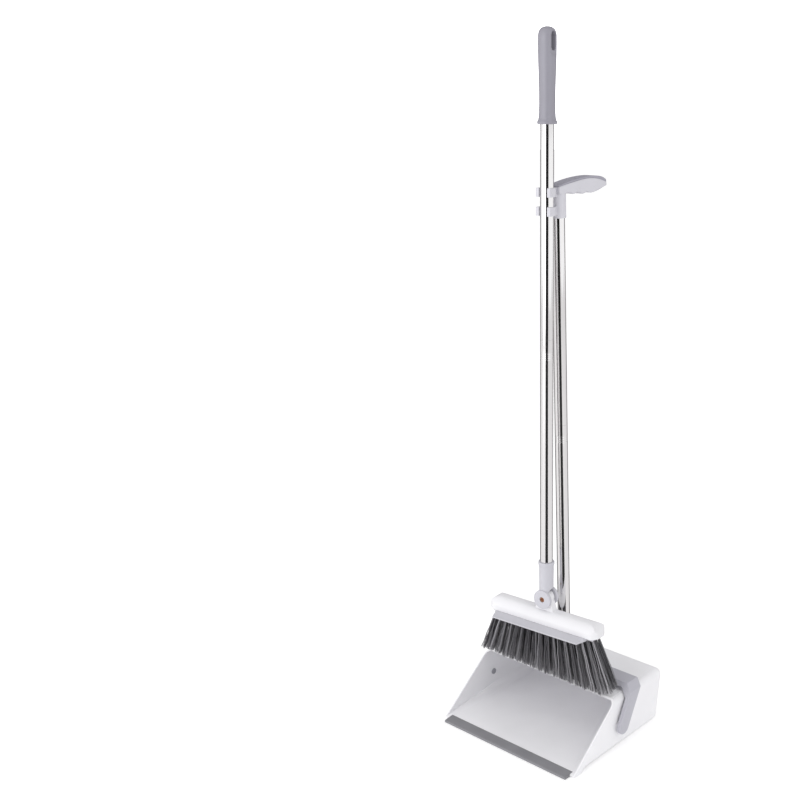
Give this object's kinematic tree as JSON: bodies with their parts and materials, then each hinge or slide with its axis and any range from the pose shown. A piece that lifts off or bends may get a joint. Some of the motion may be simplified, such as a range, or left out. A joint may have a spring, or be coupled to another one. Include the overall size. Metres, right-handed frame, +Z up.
{
  "type": "dust pan and brush set",
  "caption": "Long-handled dustpan on a swinging bail, with an upright broom that clips to its handle and has a swivelling bristle head.",
  "frame": {"origin": "on the floor, under the middle of the pan", "axes": "+X runs across the pan, -Y is the way its mouth faces and +Z is up along the handles"},
  "size_m": [0.316, 0.2729, 1.189],
  "materials": {
    "pan_plastic": "semi-gloss white moulding with a faint cool tint",
    "bail_plastic": "satin light grey moulding",
    "grip_plastic": "satin pale grey moulding",
    "grip_cap_plastic": "satin pale grey moulding",
    "socket_plastic": "satin pale grey moulding",
    "block_plastic": "satin pale grey moulding",
    "broom_grip_plastic": "satin mid grey moulding",
    "lip_rubber": "soft grey rubber",
    "pin_plastic": "smooth slippery plastic",
    "coupler_plastic": "dark glass-filled plastic",
    "polished_tube": "bright polished stainless steel",
    "copper_screw": "copper-coloured plating",
    "zinc_screw": "zinc plating",
    "bristle": "crimped fibre, light and dark greys mixed"
  },
  "bodies": {
    "pan": {"pan_body": "pan_plastic", "rubber_lip": "lip_rubber"},
    "handle": {"bail": "bail_plastic", "pivot_pins": "pin_plastic", "pivot_washers": "pin_plastic", "bail_screw": "zinc_screw", "pan_lower_tube": "polished_tube", "pan_upper_tube": "polished_tube", "pan_coupler_stud": "coupler_plastic", "pan_coupler_nut": "coupler_plastic", "pan_grip": "grip_plastic", "grip_cap": "grip_cap_plastic"},
    "broom": {"broom_grip": "broom_grip_plastic", "broom_upper_tube": "polished_tube", "broom_lower_tube": "polished_tube", "broom_coupler_stud": "coupler_plastic", "broom_coupler_nut": "coupler_plastic", "broom_socket": "socket_plastic", "hinge_screw": "copper_screw", "hinge_nut": "zinc_screw", "hinge_washers": "pin_plastic"},
    "broom_head": {"head_cap": "pan_plastic", "tuft_block": "block_plastic", "block_screws": "zinc_screw", "bristles_front": "bristle", "bristles_middle": "bristle", "bristles_rear": "bristle"}
  },
  "joints": [
    {"name": "handle_swing", "type": "hinge", "parent": "pan", "child": "handle", "pos_m": [0, 0.002, 0.04], "axis": [1, 0, 0], "range_deg": [0, 70]},
    {"name": "broom_lift", "type": "slide", "parent": "handle", "child": "broom", "axis": [0, 0, 1], "range_m": [0, 0.3]},
    {"name": "head_pivot", "type": "hinge", "parent": "broom", "child": "broom_head", "pos_m": [0, -0.0181, 0.2433], "axis": [-0.0758, 0.9971, 0], "range_deg": [-85, 85], "deforming": ["bristles_front", "bristles_middle", "bristles_rear"]}
  ]
}
